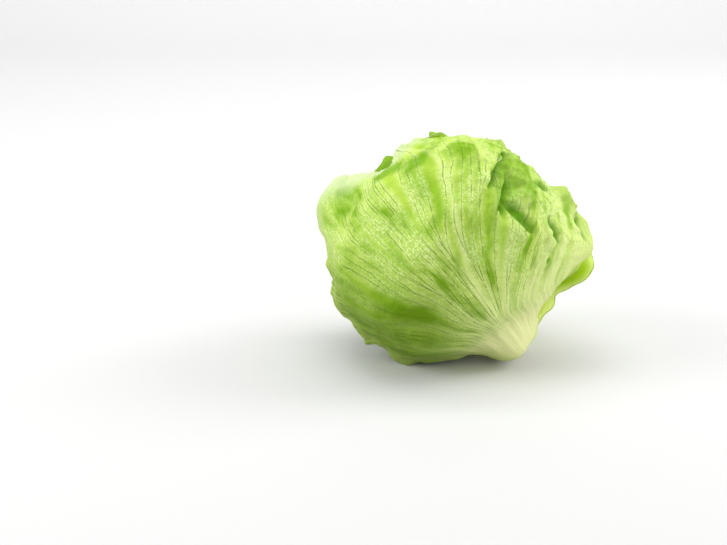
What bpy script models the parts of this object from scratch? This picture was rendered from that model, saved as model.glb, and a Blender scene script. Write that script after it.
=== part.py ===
# Iceberg lettuce lying on its side: a stump, a dense heart and six outer leaves in nested layers.
# Every layer is the same lumpy head surface moved inward, so the leaves follow each other without touching.

import bpy
import math
import numpy as np

MM = 0.001

# Where the head lies. Directions are in the model frame, lengths in millimetres.
BUTT_AXIS = (0.59, -0.223, -0.778)
FRONT_LOOK = (0.0, -0.9613, 0.2756)
HEAD_CENTRE = (-2.65, 1.51, 70.3)
FLOOR_DROP = 70.3
PRESS_SPREAD = 1.35

# Outline of half the head: distance from the butt along the axis, radius.
AXIS_MIDDLE = 84.0
PROFILE = [(5.5, 0.01), (5.5, 7), (6.2, 11.5), (8.6, 16.2), (12.6, 19.8), (17.3, 23.5), (22.5, 31), (27, 41),
           (34, 53.5), (44, 65), (56, 72), (70, 76), (84, 77), (100, 76), (115, 71), (130, 62), (142, 48),
           (150, 31), (153.5, 14), (154, 0.01)]

# Bulges and dents shared by all layers: angle from the butt, turn about the axis, height, spread.
HEAD_RADIUS = 77.0
LUMPS = [(149, -88, 13.0, 14), (164, -80, 5.0, 8), (133, -88, 2.5, 12), (178, 90, -7.0, 12),
         (140, 85, -5.5, 17), (51, 86, 14.5, 14), (94, 88, -7.0, 14), (121, 86, -4.5, 10),
         (20, 90, -4.5, 9), (97, 40, -6.0, 15), (112, 165, -4.0, 18), (84, 205, 2.5, 16),
         (60, 150, 2.0, 14), (128, -145, 3.0, 16), (92, -128, -3.0, 17),
         (104, 79, -10.5, 12), (154, 88, -4.0, 11), (10, -30, 2.5, 9), (166, -10, -6.0, 9)]
SWELLS = [(0.105, 0.032, -0.061, 0.4, 0.8), (-0.048, 0.118, 0.052, 2.1, 0.7),
          (0.071, -0.066, 0.112, 4.0, 0.6), (-0.128, -0.041, 0.083, 1.3, 0.5)]

# Blade and layer spacing.
BLADE = 1.1
BASE_THICK = 2.6
BASE_FADE = 34.0
LAYER_GAP = 1.8
VEIN_RISE = 0.5
MIDRIB_RISE = 1.3
COVER_CLEAR = 3.0
COVER_FALL = 14.0

# Stump: a cone from the cut face up into the heart.
STUMP_FACE = 6.0
STUMP_END = 21.5
STUMP_RADIUS = 11.5
STUMP_TAPER = 0.42
STUMP_GAP = 1.4

# Leaves from the outside in. rib is the turn of the midrib along the arc from the butt, left and right are
# the half widths in degrees, top is the arc at the tip, left_top and right_top the arc at the two corners.
# A flare is arc, turn, height, spread along the arc, spread across.
USUAL_WIDTH = [(15, 50), (30, 56), (50, 66), (80, 78), (120, 86), (160, 92), (200, 104), (240, 120)]
LEAVES = [
    dict(name="leaf_1", rib=[(0, 172), (240, 176)],
         left=[(10, 56), (22, 72), (32, 86), (42, 93), (52, 94), (70, 92), (77, 84), (86, 75),
               (100, 68), (125, 60), (150, 60), (200, 74)],
         right=[(15, 62), (40, 76), (60, 84), (80, 84), (120, 72), (160, 68), (200, 80)],
         top=200, left_top=150, right_top=146, ruffle=2.6, turns=5.0, phase=0.6, across=24, along=17,
         flares=[(60, 82, 4.0, 12, 14), (31, 84, 9.5, 7, 14), (196, 200, 4.0, 16, 22)],
         colour=(0.34, 0.55, 0.12)),
    dict(name="leaf_2", rib=[(0, -16), (24, -16), (74, -5), (105, -2), (132, 6), (159, 17), (200, 30)],
         left=[(10, 56), (40, 68), (80, 84), (120, 92), (160, 104), (200, 132)],
         right=[(10, 106), (30, 100), (38, 90), (48, 92), (65, 94), (80, 92), (110, 84),
                (140, 78), (200, 78)],
         top=226, left_top=200, right_top=152, ruffle=2.4, turns=-4.0, phase=1.9, across=34, along=21,
         flares=[(66, 86, 8.0, 12, 16), (36, 84, 5.0, 7, 14), (105, 82, 5.0, 6, 9), (224, 48, 4.0, 7, 5)],
         colour=(0.46, 0.66, 0.20)),
    dict(name="leaf_3", rib=[(0, -108), (240, -104)], left=USUAL_WIDTH, right=USUAL_WIDTH,
         top=212, left_top=168, right_top=172, ruffle=2.2, turns=6.0, phase=0.0, across=28, along=17,
         flares=[(206, -100, 3.0, 10, 16)], colour=(0.42, 0.62, 0.18)),
    dict(name="leaf_4", rib=[(0, 112), (240, 120)], left=USUAL_WIDTH, right=USUAL_WIDTH,
         top=202, left_top=158, right_top=166, ruffle=3.0, turns=5.0, phase=2.7, across=28, along=19,
         flares=[(200, 110, 2.5, 14, 18)], colour=(0.40, 0.61, 0.17)),
    dict(name="leaf_5", rib=[(0, -26), (240, -34)], left=USUAL_WIDTH, right=USUAL_WIDTH,
         top=215, left_top=178, right_top=176, ruffle=2.4, turns=-5.0, phase=4.2, across=28, along=17,
         flares=[(212, 30, 4.0, 8, 6)], colour=(0.48, 0.66, 0.24)),
    dict(name="leaf_6", rib=[(0, 200), (240, 194)], left=USUAL_WIDTH, right=USUAL_WIDTH,
         top=208, left_top=170, right_top=174, ruffle=2.4, turns=4.0, phase=5.0, across=28, along=19,
         flares=[(204, 196, 3.0, 12, 16)], colour=(0.50, 0.67, 0.27)),
]

# Valleys of the crumpled upper right of leaf_2: points of arc and turn, depth kept, spread.
VALLEYS = [([(154, 58), (150, 47), (145, 37), (140, 30)], 1.0, 4.2), ([(137, 38), (131, 32), (123, 27)], 1.0, 4.2),
           ([(119, 32), (111, 33), (102, 34)], 1.0, 4.2), ([(119, 56), (116, 62)], 0.9, 4.0),
           ([(126, 37), (117, 37)], 0.6, 6.0)]
VALLEY_FILL = 8.0
VALLEY_CENTRE = (97, 40)
VALLEY_SPREAD = 15.0

# Margins of the small inner leaves that show on the heart: turn of the rib, half width, arc of the top.
HEART_FOLDS = [(60, 100, 228), (-75, 105, 222), (150, 95, 218), (10, 80, 210)]
HEART_STEP = 1.3
HEART_GRID = (40, 20)
HEART_GAP = 0.8


def unit(v):
    v = np.asarray(v, float)
    return v / np.linalg.norm(v)


AXIS = unit(BUTT_AXIS)
FRONT = unit(np.asarray(FRONT_LOOK) - np.dot(FRONT_LOOK, AXIS) * AXIS)
SIDE = np.cross(AXIS, FRONT)
if SIDE[0] < 0:
    SIDE = -SIDE


def smooth(t):
    t = np.clip(t, 0.0, 1.0)
    return t * t * (3.0 - 2.0 * t)


def table(points, x):
    xs, ys = zip(*points)
    return np.interp(x, xs, ys)


def wrap(deg):
    return (np.asarray(deg, float) + 180.0) % 360.0 - 180.0


def profile_curve():
    # a spline through the outline points, resampled evenly along its length
    pts = np.array(PROFILE, float)
    ext = np.vstack([2 * pts[0] - pts[1], pts, 2 * pts[-1] - pts[-2]])
    out = []
    t = np.linspace(0, 1, 24, endpoint=False)[:, None]
    for i in range(1, len(ext) - 2):
        a, b, c, d = ext[i - 1], ext[i], ext[i + 1], ext[i + 2]
        out.append(0.5 * (2 * b + (c - a) * t + (2 * a - 5 * b + 4 * c - d) * t ** 2
                          + (3 * b - a - 3 * c + d) * t ** 3))
    out = np.vstack(out + [pts[-1:]])
    run = np.r_[0, np.cumsum(np.linalg.norm(np.diff(out, axis=0), axis=1))]
    arc = np.linspace(0, run[-1], 800)
    line = np.stack([np.interp(arc, run, out[:, k]) for k in (0, 1)], 1)
    slope = np.gradient(line, axis=0)
    slope /= np.linalg.norm(slope, axis=1)[:, None]
    return arc, line, slope


ARCS, LINE, SLOPE = profile_curve()
ARC_END = ARCS[-1]


def head_point(arc, turn):
    # point on the plain profile, its normal, and the shared height of bulges and dents there
    s, rho = [np.interp(arc, ARCS, LINE[:, k]) for k in (0, 1)]
    ds, dr = [np.interp(arc, ARCS, SLOPE[:, k]) for k in (0, 1)]
    a = np.radians(turn)
    radial = np.cos(a)[..., None] * FRONT + np.sin(a)[..., None] * SIDE
    base = -AXIS * (s - AXIS_MIDDLE)[..., None] + radial * rho[..., None]
    normal = AXIS * dr[..., None] + radial * ds[..., None]
    aim = base / np.linalg.norm(base, axis=-1, keepdims=True)
    rise = np.zeros(rho.shape)
    for tilt, about, height, spread in LUMPS:
        rise += height * bump(aim, tilt, about, spread)
    for kx, ky, kz, phase, height in SWELLS:
        rise += height * np.sin(base @ np.array((kx, ky, kz)) + phase)
    return base, normal, rise, rho, aim


def bump(aim, tilt, about, spread):
    tilt, about = math.radians(tilt), math.radians(about)
    d = math.cos(tilt) * AXIS + math.sin(tilt) * (math.cos(about) * FRONT + math.sin(about) * SIDE)
    gap = np.arccos(np.clip(aim @ d, -1, 1)) * HEAD_RADIUS
    return np.exp(-0.5 * (gap / spread) ** 2)


def thickness(arc):
    return BLADE + (BASE_THICK - BLADE) * np.exp(-np.maximum(arc - 20.0, 0.0) / BASE_FADE)


def tip_arc(leaf, u):
    # arc of the leaf margin for a place u across the leaf, with a scalloped edge
    corner = np.where(u < 0, leaf["left_top"], leaf["right_top"])
    plain = leaf["top"] - (leaf["top"] - corner) * np.abs(u) ** 2.6
    return plain + 1.8 * np.sin(u * 13.0 + leaf["phase"]) + 1.2 * np.sin(u * 29.0 + 2.0 * leaf["phase"])


def place_in_leaf(leaf, arc, turn):
    # u across the leaf and the distance outside its outline, negative inside
    off = wrap(turn - table(leaf["rib"], arc))
    half = np.where(off < 0, table(leaf["left"], arc), table(leaf["right"], arc))
    u = off / half
    rho = np.interp(arc, ARCS, LINE[:, 1])
    sideways = (np.abs(u) - 1.0) * half * np.radians(1.0) * rho
    beyond = arc - tip_arc(leaf, np.clip(u, -1, 1))
    return u, np.maximum(sideways, beyond)


def layers_over(rank, arc, turn):
    # depth taken by the leaves outside this one, and how far any of them covers the place
    depth = np.zeros(np.shape(arc))
    cover = np.zeros(np.shape(arc))
    for leaf in LEAVES[:rank]:
        outside = place_in_leaf(leaf, arc, turn)[1]
        c = 1.0 - smooth((outside - COVER_CLEAR) / COVER_FALL)
        depth = depth + c * (thickness(arc) + LAYER_GAP)
        cover = np.maximum(cover, c)
    return depth, cover


def valley_mask(arc, turn, rho):
    mask = np.zeros(np.shape(arc))
    for line, keep, spread in VALLEYS:
        for (a0, t0), (a1, t1) in zip(line[:-1], line[1:]):
            ax, ay = (arc - a0), wrap(turn - t0) * np.radians(1.0) * rho
            bx, by = (a1 - a0), (t1 - t0) * math.radians(1.0) * rho
            f = np.clip((ax * bx + ay * by) / (bx * bx + by * by + 1e-9), 0, 1)
            gap2 = (ax - f * bx) ** 2 + (ay - f * by) ** 2
            mask = np.maximum(mask, keep * np.exp(-0.5 * gap2 / spread ** 2))
    return mask


def press_to_floor(points, depth):
    # the lowest places rest flat on the surface, each layer above the one outside it
    low = -FLOOR_DROP + PRESS_SPREAD * np.maximum(depth, 0.0)
    points[..., 2] = np.maximum(points[..., 2], low)
    return points


def stump_radius(s):
    return STUMP_RADIUS - STUMP_TAPER * (s - STUMP_FACE)


def leaf_start(rank, leaf):
    # arc from which on the inner face of the leaf clears the stump cone all across
    arcs = np.arange(11.5, 70.0, 0.25)
    u, arc = np.meshgrid(np.linspace(-1, 1, 41), arcs)
    turn = table(leaf["rib"], arc) + u * np.where(u < 0, table(leaf["left"], arc), table(leaf["right"], arc))
    depth = layers_over(rank, arc, turn)[0] + thickness(arc)
    base, normal, rise, rho, aim = head_point(arc, turn)
    inner = base + normal * (rise - depth)[..., None]
    s = AXIS_MIDDLE - inner @ AXIS
    out = np.linalg.norm(inner + AXIS * (s - AXIS_MIDDLE)[..., None], axis=-1)
    free = (out - stump_radius(s) > STUMP_GAP) | (s > STUMP_END + STUMP_GAP)
    blocked = ~np.all(free & (out > 2.0), axis=1)
    return arcs[np.nonzero(blocked)[0][-1] + 1] if blocked.any() else arcs[0]


def leaf_faces(rank, leaf):
    nu, nv = leaf["across"], leaf["along"]
    start = leaf_start(rank, leaf)
    u = np.linspace(-1, 1, nu + 1)[:, None] * np.ones(nv + 1)[None]
    v = np.ones(nu + 1)[:, None] * np.linspace(0, 1, nv + 1)[None]
    arc = start + v * (tip_arc(leaf, u) - start)
    half = np.where(u < 0, table(leaf["left"], arc), table(leaf["right"], arc))
    turn = table(leaf["rib"], arc) + u * half
    base, normal, rise, rho, aim = head_point(arc, turn)
    depth, cover = layers_over(rank, arc, turn)
    open_part = 1.0 - cover
    edge = -np.minimum(place_in_leaf(leaf, arc, turn)[1], 0.0)
    near_edge = 1.0 - smooth(edge / 18.0)
    lift = leaf["ruffle"] * near_edge * smooth((arc - 40.0) / 50.0) * (
        0.5 + 0.5 * np.sin(arc * 2 * math.pi / 27.0 + np.radians(turn) * leaf["turns"] + leaf["phase"]))
    for a, t, height, along, across in leaf["flares"]:
        far = ((arc - a) / along) ** 2 + (wrap(turn - t) * np.radians(1.0) * rho / across) ** 2
        lift = lift + height * np.exp(-0.5 * far) * (1.0 - smooth(edge / 30.0))
    if leaf["name"] == "leaf_2":
        fill = VALLEY_FILL * bump(aim, VALLEY_CENTRE[0], VALLEY_CENTRE[1], VALLEY_SPREAD)
        lift = lift + fill * (1.0 - valley_mask(arc, turn, rho))
    rib = np.exp(-(u / 0.05) ** 2) * MIDRIB_RISE * (1.0 - smooth(v * 1.1))
    lift = (lift + rib) * open_part
    parity = (np.arange(nu + 1) % 2 == 0)[:, None]
    lift = lift + np.where(parity, VEIN_RISE, 0.0) * smooth(edge / 8.0) * (1.0 - 0.5 * v)
    outer = base + normal * (rise - depth + lift)[..., None]
    thick = thickness(arc)
    inner = base + normal * (rise - depth + lift - thick)[..., None]
    return press_to_floor(outer, depth - lift), press_to_floor(inner, depth - lift + thick)


def grid_triangles(nu, nv, first, flip):
    tris = []
    for i in range(nu):
        for j in range(nv):
            a = first + i * (nv + 1) + j
            b, c, d = a + nv + 1, a + nv + 2, a + 1
            pair = [(a, b, c), (a, c, d)] if (i + j) % 2 == 0 else [(a, b, d), (b, c, d)]
            tris += [t[::-1] for t in pair] if flip else pair
    return tris


def shell(outer, inner):
    # two faces of one blade joined by a rim
    nu, nv = outer.shape[0] - 1, outer.shape[1] - 1
    verts = np.vstack([outer.reshape(-1, 3), inner.reshape(-1, 3)])
    second = (nu + 1) * (nv + 1)
    tris = grid_triangles(nu, nv, 0, False) + grid_triangles(nu, nv, second, True)
    ring = [i * (nv + 1) for i in range(nu + 1)]
    ring += [nu * (nv + 1) + j for j in range(1, nv + 1)]
    ring += [i * (nv + 1) + nv for i in range(nu - 1, -1, -1)]
    ring += [j for j in range(nv - 1, 0, -1)]
    for a, b in zip(ring, ring[1:] + ring[:1]):
        tris += [(b, a, a + second), (b, a + second, b + second)]
    return verts, tris


def heart_body():
    nu, nv = HEART_GRID
    rank = len(LEAVES)
    turn_row = np.arange(nu) * 360.0 / nu
    first = 30.0
    arc_row = first + (ARC_END - 1.5 - first) * np.linspace(0, 1, nv + 1) ** 0.92
    turn = turn_row[:, None] * np.ones(nv + 1)[None]
    arc = np.ones(nu)[:, None] * arc_row[None]
    base, normal, rise, rho, aim = head_point(arc, turn)
    depth, cover = layers_over(rank, arc, turn)
    depth = np.maximum(depth, 13.0 * (1.0 - smooth((arc - 30.0) / 60.0))) + HEART_GAP
    relief = np.zeros(arc.shape)
    for rib, half, top in HEART_FOLDS:
        off = np.abs(wrap(turn - rib))
        edge = np.minimum((half - off) * np.radians(1.0) * rho, top - arc)
        relief = relief + HEART_STEP * smooth(0.5 + edge / 6.0)
    relief = (relief - HEART_STEP * len(HEART_FOLDS)) * (1.0 - cover)
    points = base + normal * (rise - depth + relief)[..., None]
    points = press_to_floor(points, depth)
    bottom = points[:, 0].mean(axis=0)
    crown = points[:, -1].mean(axis=0)
    low_s = (AXIS_MIDDLE - points[:, 0] @ AXIS).min()
    bottom = -AXIS * (max(low_s, STUMP_END + 0.8) - AXIS_MIDDLE)
    verts = np.vstack([points.reshape(-1, 3), bottom[None], crown[None]])
    low, high = nu * (nv + 1), nu * (nv + 1) + 1
    tris = []
    for i in range(nu):
        k = (i + 1) % nu
        for j in range(nv):
            a, b = i * (nv + 1) + j, k * (nv + 1) + j
            tris += [(a, b, b + 1), (a, b + 1, a + 1)]
        tris += [(low, k * (nv + 1), i * (nv + 1)), (high, i * (nv + 1) + nv, k * (nv + 1) + nv)]
    return verts, tris


def stump_body():
    n = 32
    rings = [(STUMP_FACE + 0.2, 5.0), (STUMP_FACE, STUMP_RADIUS - 1.2), (STUMP_FACE + 0.9, STUMP_RADIUS - 0.38),
             (12.0, stump_radius(12.0)), (STUMP_END - 0.8, stump_radius(STUMP_END - 0.8)),
             (STUMP_END, stump_radius(STUMP_END) - 1.2)]
    a = np.arange(n) * 2 * math.pi / n
    radial = np.cos(a)[:, None] * FRONT + np.sin(a)[:, None] * SIDE
    verts = [-AXIS * (s - AXIS_MIDDLE) + radial * r for s, r in rings]
    verts = np.vstack(verts + [[-AXIS * (STUMP_FACE + 0.3 - AXIS_MIDDLE)], [-AXIS * (STUMP_END - AXIS_MIDDLE)]])
    tris = []
    m = len(rings)
    for j in range(m - 1):
        for i in range(n):
            k = (i + 1) % n
            a0, b0, a1, b1 = j * n + i, j * n + k, (j + 1) * n + i, (j + 1) * n + k
            tris += [(a0, b0, b1), (a0, b1, a1)]
    for i in range(n):
        k = (i + 1) % n
        tris += [(m * n, k, i), (m * n + 1, (m - 1) * n + i, (m - 1) * n + k)]
    return press_to_floor(verts, np.full(len(verts), 0.2)), tris


def add_body(name, verts, tris, colour, rough):
    verts = np.asarray(verts, float)
    tris = np.asarray(tris, int)
    a, b, c = verts[tris[:, 0]], verts[tris[:, 1]], verts[tris[:, 2]]
    if np.einsum("ij,ij->i", a, np.cross(b, c)).sum() < 0:
        tris = tris[:, ::-1]
    placed = (verts + np.asarray(HEAD_CENTRE)) * MM
    mesh = bpy.data.meshes.new(name)
    mesh.from_pydata(placed.tolist(), [], tris.tolist())
    mesh.update()
    mat = bpy.data.materials.new(name + "_tissue")
    mat.use_nodes = True
    bsdf = mat.node_tree.nodes["Principled BSDF"]
    bsdf.inputs["Base Color"].default_value = (*colour, 1.0)
    bsdf.inputs["Roughness"].default_value = rough
    mesh.materials.append(mat)
    obj = bpy.data.objects.new(name, mesh)
    bpy.context.scene.collection.objects.link(obj)
    return obj


for old in list(bpy.data.objects):
    bpy.data.objects.remove(old, do_unlink=True)

add_body("stump", *stump_body(), (0.74, 0.70, 0.44), 0.6)
add_body("heart", *heart_body(), (0.62, 0.72, 0.36), 0.5)
for rank, leaf in enumerate(LEAVES):
    faces = leaf_faces(rank, leaf)
    add_body(leaf["name"], *shell(*faces), leaf["colour"], 0.42)
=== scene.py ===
import bpy
import math
import numpy as np
from functools import partial
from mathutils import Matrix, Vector


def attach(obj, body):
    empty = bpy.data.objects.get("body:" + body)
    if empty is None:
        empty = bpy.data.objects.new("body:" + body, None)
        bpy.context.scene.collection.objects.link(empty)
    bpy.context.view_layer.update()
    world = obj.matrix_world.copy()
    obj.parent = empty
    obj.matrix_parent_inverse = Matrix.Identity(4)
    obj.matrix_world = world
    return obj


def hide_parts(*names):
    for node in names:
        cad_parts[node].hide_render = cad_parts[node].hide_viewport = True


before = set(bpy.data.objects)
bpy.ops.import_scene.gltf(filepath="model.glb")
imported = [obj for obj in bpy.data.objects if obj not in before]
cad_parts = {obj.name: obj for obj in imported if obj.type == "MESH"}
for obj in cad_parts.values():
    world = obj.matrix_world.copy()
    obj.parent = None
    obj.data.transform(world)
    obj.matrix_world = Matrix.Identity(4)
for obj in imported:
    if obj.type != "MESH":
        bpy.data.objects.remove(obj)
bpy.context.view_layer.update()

# Iceberg lettuce on its side. All shape work is in millimetres round the middle of the head:
# "arc" runs from the cut butt over the ball to the crown, "turn" is the angle about the head's axis.
# Every leaf lies on the same lumpy head surface, each one a layer deeper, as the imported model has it.

mm = 0.001
headCentre = np.array((-2.65, 1.51, 70.3))
floorDrop = 70.3                 # the head's middle above the table
axisMiddle = 84.0                # from the butt's end of the axis to the middle
headRadius = 77.0
# (place on the axis, radius) of the head without its bulges
outline = [(5.5, 0.01), (5.5, 7), (6.2, 11.5), (8.6, 16.2), (12.6, 19.8), (17.3, 23.5), (22.5, 31), (27, 41),
           (34, 53.5), (44, 65), (56, 72), (70, 76), (84, 77), (100, 76), (115, 71), (130, 62), (142, 48),
           (150, 31), (153.5, 14), (154, 0.01)]
# bulges and hollows as (tilt from the butt, turn, height, spread), then slow waves over the whole head
lumps = [(149, -88, 13.0, 14), (164, -80, 5.0, 8), (133, -88, 2.5, 12), (178, 90, -7.0, 12),
         (140, 85, -5.5, 17), (51, 86, 14.5, 14), (94, 88, -7.0, 14), (121, 86, -4.5, 10),
         (20, 90, -4.5, 9), (97, 40, -6.0, 15), (112, 165, -4.0, 18), (84, 205, 2.5, 16),
         (60, 150, 2.0, 14), (128, -145, 3.0, 16), (92, -128, -3.0, 17),
         (104, 79, -10.5, 12), (154, 88, -4.0, 11), (10, -30, 2.5, 9), (166, -10, -6.0, 9)]
swells = [(0.105, 0.032, -0.061, 0.4, 0.8), (-0.048, 0.118, 0.052, 2.1, 0.7),
          (0.071, -0.066, 0.112, 4.0, 0.6), (-0.128, -0.041, 0.083, 1.3, 0.5)]

# blade thickness, the gap under each leaf, and how far past a leaf's margin the next one stays pressed in
layers = dict(blade=1.1, base=2.6, baseFade=34.0, gap=1.8, coverClear=3.0, coverFall=14.0, pressSpread=1.35)


def unit(v):
    v = np.asarray(v, float)
    return v / np.linalg.norm(v)


buttAxis = unit((0.59, -0.223, -0.778))
frontLook = np.array((0.0, -0.9613, 0.2756))
frontLook = unit(frontLook - (frontLook @ buttAxis) * buttAxis)
sideLook = np.cross(buttAxis, frontLook)
sideLook = sideLook if sideLook[0] > 0 else -sideLook


def smooth(t):
    t = np.clip(t, 0.0, 1.0)
    return t * t * (3.0 - 2.0 * t)


def table(points, x):
    xs, ys = zip(*points)
    return np.interp(x, xs, ys)


def wrap(deg):
    return (np.asarray(deg, float) + 180.0) % 360.0 - 180.0


lattice = np.random.default_rng(11).random((32, 32, 32)) * 2.0 - 1.0


def cloud(points, cell, shift=0.0):
    # soft noise between -1 and 1 whose lumps are one cell across
    g = points / cell + shift * 7.31 + 900.0
    low = np.floor(g).astype(int)
    f = g - low
    f = f * f * (3.0 - 2.0 * f)
    total = 0.0
    for corner in range(8):
        bits = np.array(((corner >> 2) & 1, (corner >> 1) & 1, corner & 1))
        at = (low + bits) % 32
        weight = np.prod(np.where(bits, f, 1.0 - f), axis=-1)
        total = total + weight * lattice[at[..., 0], at[..., 1], at[..., 2]]
    return total


def cloudSum(points, rows, first):
    return sum(height * cloud(points, cell, first + k) for k, (height, cell) in enumerate(rows))


def profileCurve():
    # the outline as a smooth curve through its points, evenly stepped by arc
    pts = np.array(outline, float)
    ext = np.vstack([2 * pts[0] - pts[1], pts, 2 * pts[-1] - pts[-2]])
    t = np.linspace(0, 1, 24, endpoint=False)[:, None]
    bits = []
    for i in range(1, len(ext) - 2):
        a, b, c, d = ext[i - 1], ext[i], ext[i + 1], ext[i + 2]
        bits.append(0.5 * (2 * b + (c - a) * t + (2 * a - 5 * b + 4 * c - d) * t ** 2
                           + (3 * b - a - 3 * c + d) * t ** 3))
    line = np.vstack(bits + [pts[-1:]])
    run = np.r_[0, np.cumsum(np.linalg.norm(np.diff(line, axis=0), axis=1))]
    arc = np.linspace(0, run[-1], 800)
    line = np.stack([np.interp(arc, run, line[:, k]) for k in (0, 1)], 1)
    slope = np.gradient(line, axis=0)
    return arc, line, slope / np.linalg.norm(slope, axis=1)[:, None]


arcs, profile, profileSlope = profileCurve()
arcEnd = arcs[-1]


def radiusAt(arc):
    return np.interp(arc, arcs, profile[:, 1])


def bump(aim, tilt, about, spread):
    tilt, about = math.radians(tilt), math.radians(about)
    across = math.cos(about) * frontLook + math.sin(about) * sideLook
    d = math.cos(tilt) * buttAxis + math.sin(tilt) * across
    away = np.arccos(np.clip(aim @ d, -1, 1)) * headRadius
    return np.exp(-0.5 * (away / spread) ** 2)


def headPoint(arc, turn):
    # plain surface point, outward normal, shared height of the bulges, and the direction from the middle
    s, rho = [np.interp(arc, arcs, profile[:, k]) for k in (0, 1)]
    ds, dr = [np.interp(arc, arcs, profileSlope[:, k]) for k in (0, 1)]
    a = np.radians(turn)
    radial = np.cos(a)[..., None] * frontLook + np.sin(a)[..., None] * sideLook
    base = -buttAxis * (s - axisMiddle)[..., None] + radial * rho[..., None]
    normal = buttAxis * dr[..., None] + radial * ds[..., None]
    aim = base / np.linalg.norm(base, axis=-1, keepdims=True)
    rise = np.zeros(rho.shape)
    for tilt, about, height, spread in lumps:
        rise += height * bump(aim, tilt, about, spread)
    for kx, ky, kz, phase, height in swells:
        rise += height * np.sin(base @ np.array((kx, ky, kz)) + phase)
    return base, normal, rise, aim


# The leaves, outermost first. left and right are half widths in degrees by arc, top and the two corner
# values are the arcs that the tip reaches, flares are (arc, turn, height, spread along, spread across)
# and lift the margin off the head. A patch is (arc, turn, mm along, mm across, how much greener the blade
# is there), and below zero it is paler. The green patch at arc 126, turn -40 is painted shade.
usualWidth = [(15, 50), (30, 56), (50, 66), (80, 78), (120, 86), (160, 92), (200, 104), (240, 120)]
leaves = [
    dict(name="leaf_1", fanShift=178, rimWide=20.0, teeth=0.4, ragged=0.4, rib=[(0, 172), (240, 176)],
         left=[(10, 42), (21, 54), (27, 84), (32, 91), (42, 94), (52, 94), (63, 93), (71, 84), (86, 75),
               (100, 68), (125, 60), (150, 60), (200, 74)],
         right=[(15, 62), (40, 76), (60, 84), (80, 84), (120, 72), (160, 68), (200, 80)],
         top=200, leftTop=150, rightTop=146, ruffle=2.6, turns=5.0, phase=0.6, grid=(270, 190),
         flares=[(60, 82, 5.0, 9, 14), (31, 84, 9.5, 7, 14), (197, 168, 6.5, 8, 8), (196, 200, 2.0, 16, 22)]),
    dict(name="leaf_2", rimWide=22.0,
         rib=[(0, -16), (24, -16), (74, -5), (105, -2), (132, 6), (159, 17), (200, 30)],
         left=[(10, 56), (40, 68), (80, 84), (120, 92), (160, 104), (200, 132)],
         right=[(10, 106), (30, 100), (38, 90), (48, 92), (65, 94), (80, 92), (110, 84), (140, 78),
                (200, 78)],
         top=226, leftTop=200, rightTop=152, ruffle=2.4, turns=-4.0, phase=1.9, grid=(300, 206),
         patches=[(166, 4, 19, 8, 0.9), (185, 17, 12, 8, 0.7), (140, -24, 24, 5, 0.6),
                  (204, -70, 12, 16, 0.6), (88, 20, 9, 3, 0.5), (151, 50, 14, 12, -0.8),
                  (92, 60, 20, 12, -0.7), (186, -38, 9, 16, 0.5), (126, -40, 20, 14, 0.9),
                  (156, -16, 12, 5, 0.4), (128, 4, 26, 4, 0.5)],
         flares=[(66, 86, 8.0, 12, 16), (36, 84, 5.0, 7, 14), (105, 82, 5.0, 6, 9), (224, 48, 4.0, 7, 5),
                 (92, 86, 3.6, 4.5, 7)]),
    dict(name="leaf_3", fanShift=-101, ragged=0.4, rib=[(0, -108), (240, -104)],
         left=usualWidth, right=usualWidth, top=212, leftTop=168, rightTop=172, ruffle=2.2, turns=6.0,
         phase=0.0, grid=(190, 150), flares=[(206, -100, 3.0, 10, 16)]),
    dict(name="leaf_4", fanShift=120, rib=[(0, 112), (240, 120)],
         left=usualWidth, right=usualWidth, top=202, leftTop=158, rightTop=166, ruffle=3.0, turns=5.0,
         phase=2.7, grid=(190, 150), flares=[(200, 110, 2.5, 14, 18)]),
    dict(name="leaf_5", fanShift=-22, rib=[(0, -26), (240, -34)],
         left=usualWidth, right=usualWidth, top=215, leftTop=178, rightTop=176, ruffle=2.4, turns=-5.0,
         phase=4.2, grid=(190, 150), flares=[(212, 30, 4.0, 8, 6)]),
    dict(name="leaf_6", fanShift=204, rib=[(0, 200), (240, 194)],
         left=usualWidth, right=usualWidth, top=208, leftTop=170, rightTop=174, ruffle=2.4, turns=4.0,
         phase=5.0, grid=(190, 150), flares=[(204, 196, 3.0, 12, 16)]),
]


def thickness(arc):
    swelling = (layers["base"] - layers["blade"]) * np.exp(-np.maximum(arc - 20.0, 0.0) / layers["baseFade"])
    return layers["blade"] + swelling


def tipArc(leaf, u):
    corner = np.where(u < 0, leaf["leftTop"], leaf["rightTop"])
    plain = leaf["top"] - (leaf["top"] - corner) * np.abs(u) ** 2.6
    return plain + 1.8 * np.sin(u * 13.0 + leaf["phase"]) + 1.2 * np.sin(u * 29.0 + 2.0 * leaf["phase"])


def halfWidth(leaf, side, arc):
    return np.where(side < 0, table(leaf["left"], arc), table(leaf["right"], arc))


def placeInLeaf(leaf, arc, turn):
    # place across the leaf and the distance outside its outline, negative inside
    off = wrap(turn - table(leaf["rib"], arc))
    half = halfWidth(leaf, off, arc)
    u = off / half
    sideways = (np.abs(u) - 1.0) * half * np.radians(1.0) * radiusAt(arc)
    beyond = arc - tipArc(leaf, np.clip(u, -1, 1))
    return u, np.maximum(sideways, beyond)


def layersOver(rank, arc, turn):
    depth = np.zeros(np.shape(arc))
    cover = np.zeros(np.shape(arc))
    for leaf in leaves[:rank]:
        outside = placeInLeaf(leaf, arc, turn)[1]
        c = 1.0 - smooth((outside - layers["coverClear"]) / layers["coverFall"])
        depth = depth + c * (thickness(arc) + layers["gap"])
        cover = np.maximum(cover, c)
    return depth, cover


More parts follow.
